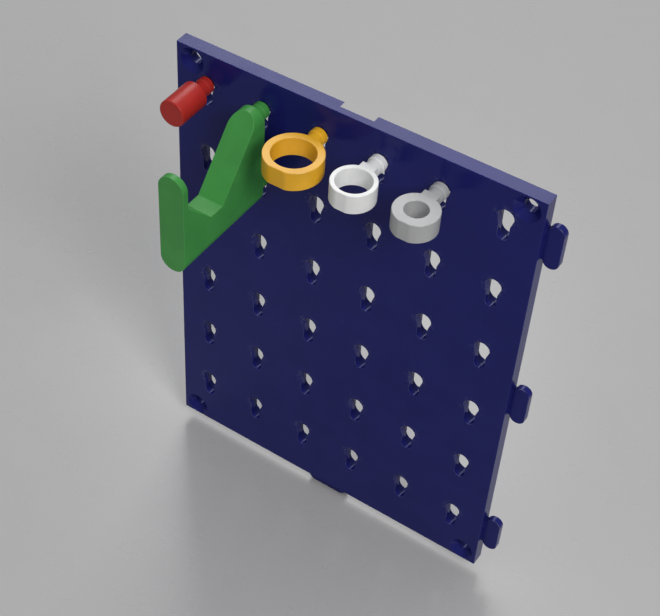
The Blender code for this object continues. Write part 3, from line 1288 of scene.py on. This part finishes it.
@dataclass
class RingHolder:
    """A level ring on a short arm and one plug.

    Attributes:
        node: The CAD node that it stands for.
        slot: The record's material slot; not used.
        centre: Centre of its keyhole's entry.
        outer_radius: Outside of the ring.
        bore_radius: Bore that holds the tool.
        flat_width: Width of the flat on the front.
        finish: The ring's plastic.
        plug: The plug behind it.
        reach: From the tile's face to the bore's axis.
        height: Height of the ring.
        rise: Top of the ring above the plug's axis.
        arm_width: Width of the arm.
        edge: Broken edge of the ring.
    """

    node: str
    slot: str
    centre: Vector
    outer_radius: float
    bore_radius: float
    flat_width: float
    finish: MouldedPlastic
    plug: Plug = field(default_factory=Plug)
    reach: float = 0.0171
    height: float = 0.008
    rise: float = 0.0032
    arm_width: float = 0.0062
    edge: float = 0.0002

    def angles(self) -> list[float]:
        """Angles round the ring, with one at each end of the front flat.

        Returns:
            The angles in radians, once round.
        """
        half = math.asin(self.flat_width / 2 / self.outer_radius)
        start, end = -math.pi / 2 + half, 1.5 * math.pi - half
        steps = TURN_FACETS - FLAT_FACETS
        around = [start + (end - start) * index / steps for index in range(steps + 1)]
        across = [end + 2 * half * index / FLAT_FACETS for index in range(1, FLAT_FACETS)]
        return around + across

    def wall_point(self, angle: float, inset: float) -> Vector:
        """A point of the outer wall, on the circle or on the flat.

        Args:
            angle: Direction from the bore's axis.
            inset: How far the wall is drawn in.

        Returns:
            The point, relative to the bore's axis.
        """
        flat = math.sqrt(self.outer_radius**2 - (self.flat_width / 2) ** 2) - inset
        radius = self.outer_radius - inset
        if math.sin(angle) * radius < -flat:
            radius = flat / -math.sin(angle)
        return Vector((radius * math.cos(angle), radius * math.sin(angle), 0.0))

    def build(self) -> Piece:
        """Lofts the ring round its section, and adds the arm and the plug.

        Returns:
            The ring holder, not yet on its body.
        """
        axis = self.centre - Vector((0.0, self.reach, 0.0))
        top, bottom, cut = self.rise, self.rise - self.height, self.edge
        angles = self.angles()
        wall = ((bottom, cut), (bottom + cut, 0.0), (top - cut, 0.0), (top, cut))
        loops = []
        for z, inset in wall:
            lift = axis + Vector((0.0, 0.0, z))
            loops.append([lift + self.wall_point(angle, inset) for angle in angles])
        for z, inset in reversed(wall):
            radius = self.bore_radius + inset
            lift = axis + Vector((0.0, 0.0, z))
            bore = [Vector((radius * math.cos(a), radius * math.sin(a), 0.0)) for a in angles]
            loops.append([lift + point for point in bore])
        bm = bmesh.new()
        loft(bm, loops, closed=True)
        self.add_arm(bm)
        self.plug.add(bm, self.centre)
        piece = finish_mesh(bm, self.node.replace("_holder", ""))
        return finish_edges(piece, HOLDER_EDGE_BAND)

    def add_arm(self, bm: Shape) -> None:
        """Adds the arm from the shaft to the ring's wall, where the ring leaves room for one.

        Args:
            bm: The mesh that gains the arm.
        """
        half, cut = self.arm_width / 2, self.edge
        back = -self.plug.stand_off
        wall = self.outer_radius - ARM_BITE * cut
        if -self.reach + math.sqrt(wall**2 - half**2) > back - 2 * cut:
            return
        levels = (
            (-self.plug.shaft_radius, cut),
            (-self.plug.shaft_radius + cut, 0.0),
            (self.rise - cut, 0.0),
            (self.rise, cut),
        )
        loops = []
        for z, inset in levels:
            x = half - inset
            across = [-x + 2 * x * step / ARM_FACETS for step in range(ARM_FACETS + 1)]
            front = [(side, -self.reach + math.sqrt(wall**2 - side**2)) for side in across]
            outline = front + [(x, back - inset), (-x, back - inset)]
            loops.append([self.centre + Vector((a, b, z)) for a, b in outline])
        loft(bm, loops)

    def dress(self, piece: Piece) -> None:
        """Puts the ring holder on its body in its own colour."""
        adopt(piece, self.node, self.finish.make())


# ------------------------------------------------------------------------------ studio


@dataclass
class Studio:
    """Floor, soft lights and camera.

    Attributes:
        floor_z: Height of the floor.
        floor_half: Half the floor's width.
        surface: The floor's finish.
    """

    floor_z: float
    floor_half: float = 3.0
    surface: StudioSurface = PALE_BOARD

    def build(self) -> None:
        """Makes the floor, the lights and the camera."""
        bm = bmesh.new()
        half = self.floor_half
        corners = [(-half, -half), (half, -half), (half, half), (-half, half)]
        bm.faces.new([bm.verts.new((x, y, self.floor_z)) for x, y in corners])
        floor = finish_mesh(bm, "floor")
        floor.data.materials.append(self.surface.make())
        floor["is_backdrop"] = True
        self.light("softbox_right", place=(0.95, -0.62, 1.05), size=0.5, power=11.0)
        self.light("card_behind", place=(-0.38, 0.68, 0.80), size=0.45, power=3.2)
        self.surroundings(horizon=0.12, zenith=0.75)
        self.camera()

    def light(
        self, name: str, place: tuple[float, float, float], size: float, power: float
    ) -> None:
        """Adds a square softbox that faces the tile.

        Args:
            name: The light's name.
            place: Where it stands.
            size: Its width in metres.
            power: Its power in watts.
        """
        lamp = bpy.data.lights.new(name, "AREA")
        lamp.size, lamp.energy = size, power
        box = bpy.data.objects.new(name, lamp)
        box.location = place
        box.rotation_euler = (-Vector(place)).to_track_quat("-Z", "Y").to_euler()
        bpy.context.scene.collection.objects.link(box)

    def surroundings(self, horizon: float, zenith: float) -> None:
        """Lights the scene softly from all round, most from overhead.

        Args:
            horizon: Brightness level with the floor.
            zenith: Brightness straight above.
        """
        world = bpy.data.worlds.new("studio")
        world.use_nodes = True
        tree = world.node_tree
        background = tree.nodes["Background"]
        background.inputs["Color"].default_value = linear("F4F6FA")
        way = add_node(tree, "ShaderNodeTexCoord").outputs["Generated"]
        height = add_node(tree, "ShaderNodeSeparateXYZ", {0: way}).outputs[2]
        level = remap(tree, height, (0.0, 1.0), (horizon, zenith))
        tree.links.new(level, background.inputs["Strength"])
        bpy.context.scene.world = world

    def camera(self) -> None:
        """Stands the camera to the right of the tile and above it, looking down."""
        lens = bpy.data.cameras.new("camera")
        # A long lens, shifted so that the tile stands to the left of its axis and below it.
        lens.lens, lens.sensor_width = 84.6284669, 36.0
        lens.shift_x, lens.shift_y = 0.163983429, 0.12252658
        lens.clip_start = 0.01
        view = bpy.data.objects.new("camera", lens)
        place = Vector((0.21472422, -0.37902297, 0.44181406))
        tilt, turn = math.radians(41.6163693), math.radians(35.9784169)
        view.matrix_world = Matrix.LocRotScale(place, Euler((tilt, 0.0, turn)), None)
        bpy.context.scene.collection.objects.link(view)
        bpy.context.scene.camera = view
        bpy.context.scene.view_settings.view_transform = "Standard"


def plain_box() -> list[list[float]]:
    """The whole object's box as plain lists."""
    return [[float(value) for value in corner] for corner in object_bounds()]


def main() -> None:
    """Builds the tile and its holders in order, then the studio."""
    logging.basicConfig(level=logging.INFO, format="%(name)s %(message)s")
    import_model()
    cad = plain_box()
    tile = KeyholeTile()
    tile.dress(tile.build())
    peg = PlainPeg(tile.entry(0, 0))
    peg.dress(peg.build())
    hook = Hook(tile.entry(1, 0), tile.row_pitch)
    hook.dress(hook.build())
    # Node, slot, outer radius, bore radius, width of the flat and plastic of each ring in turn.
    rings = (
        ("large_ring_holder", "ring_orange", 0.0112, 0.0083, 0.0070, SATIN_ORANGE),
        ("medium_ring_holder", "ring_white", 0.0085, 0.0067, 0.0043, SATIN_WHITE),
        ("small_ring_holder", "ring_grey", 0.0085, 0.0044, 0.0043, SATIN_GREY),
    )
    for column, (node, slot, outer, bore, flat, finish) in enumerate(rings, start=2):
        ring = RingHolder(node, slot, tile.entry(column, 0), outer, bore, flat, finish)
        ring.dress(ring.build())
    Studio(floor_z=cad[0][2] - FLOOR_GAP).build()


if __name__ == "__main__":
    main()
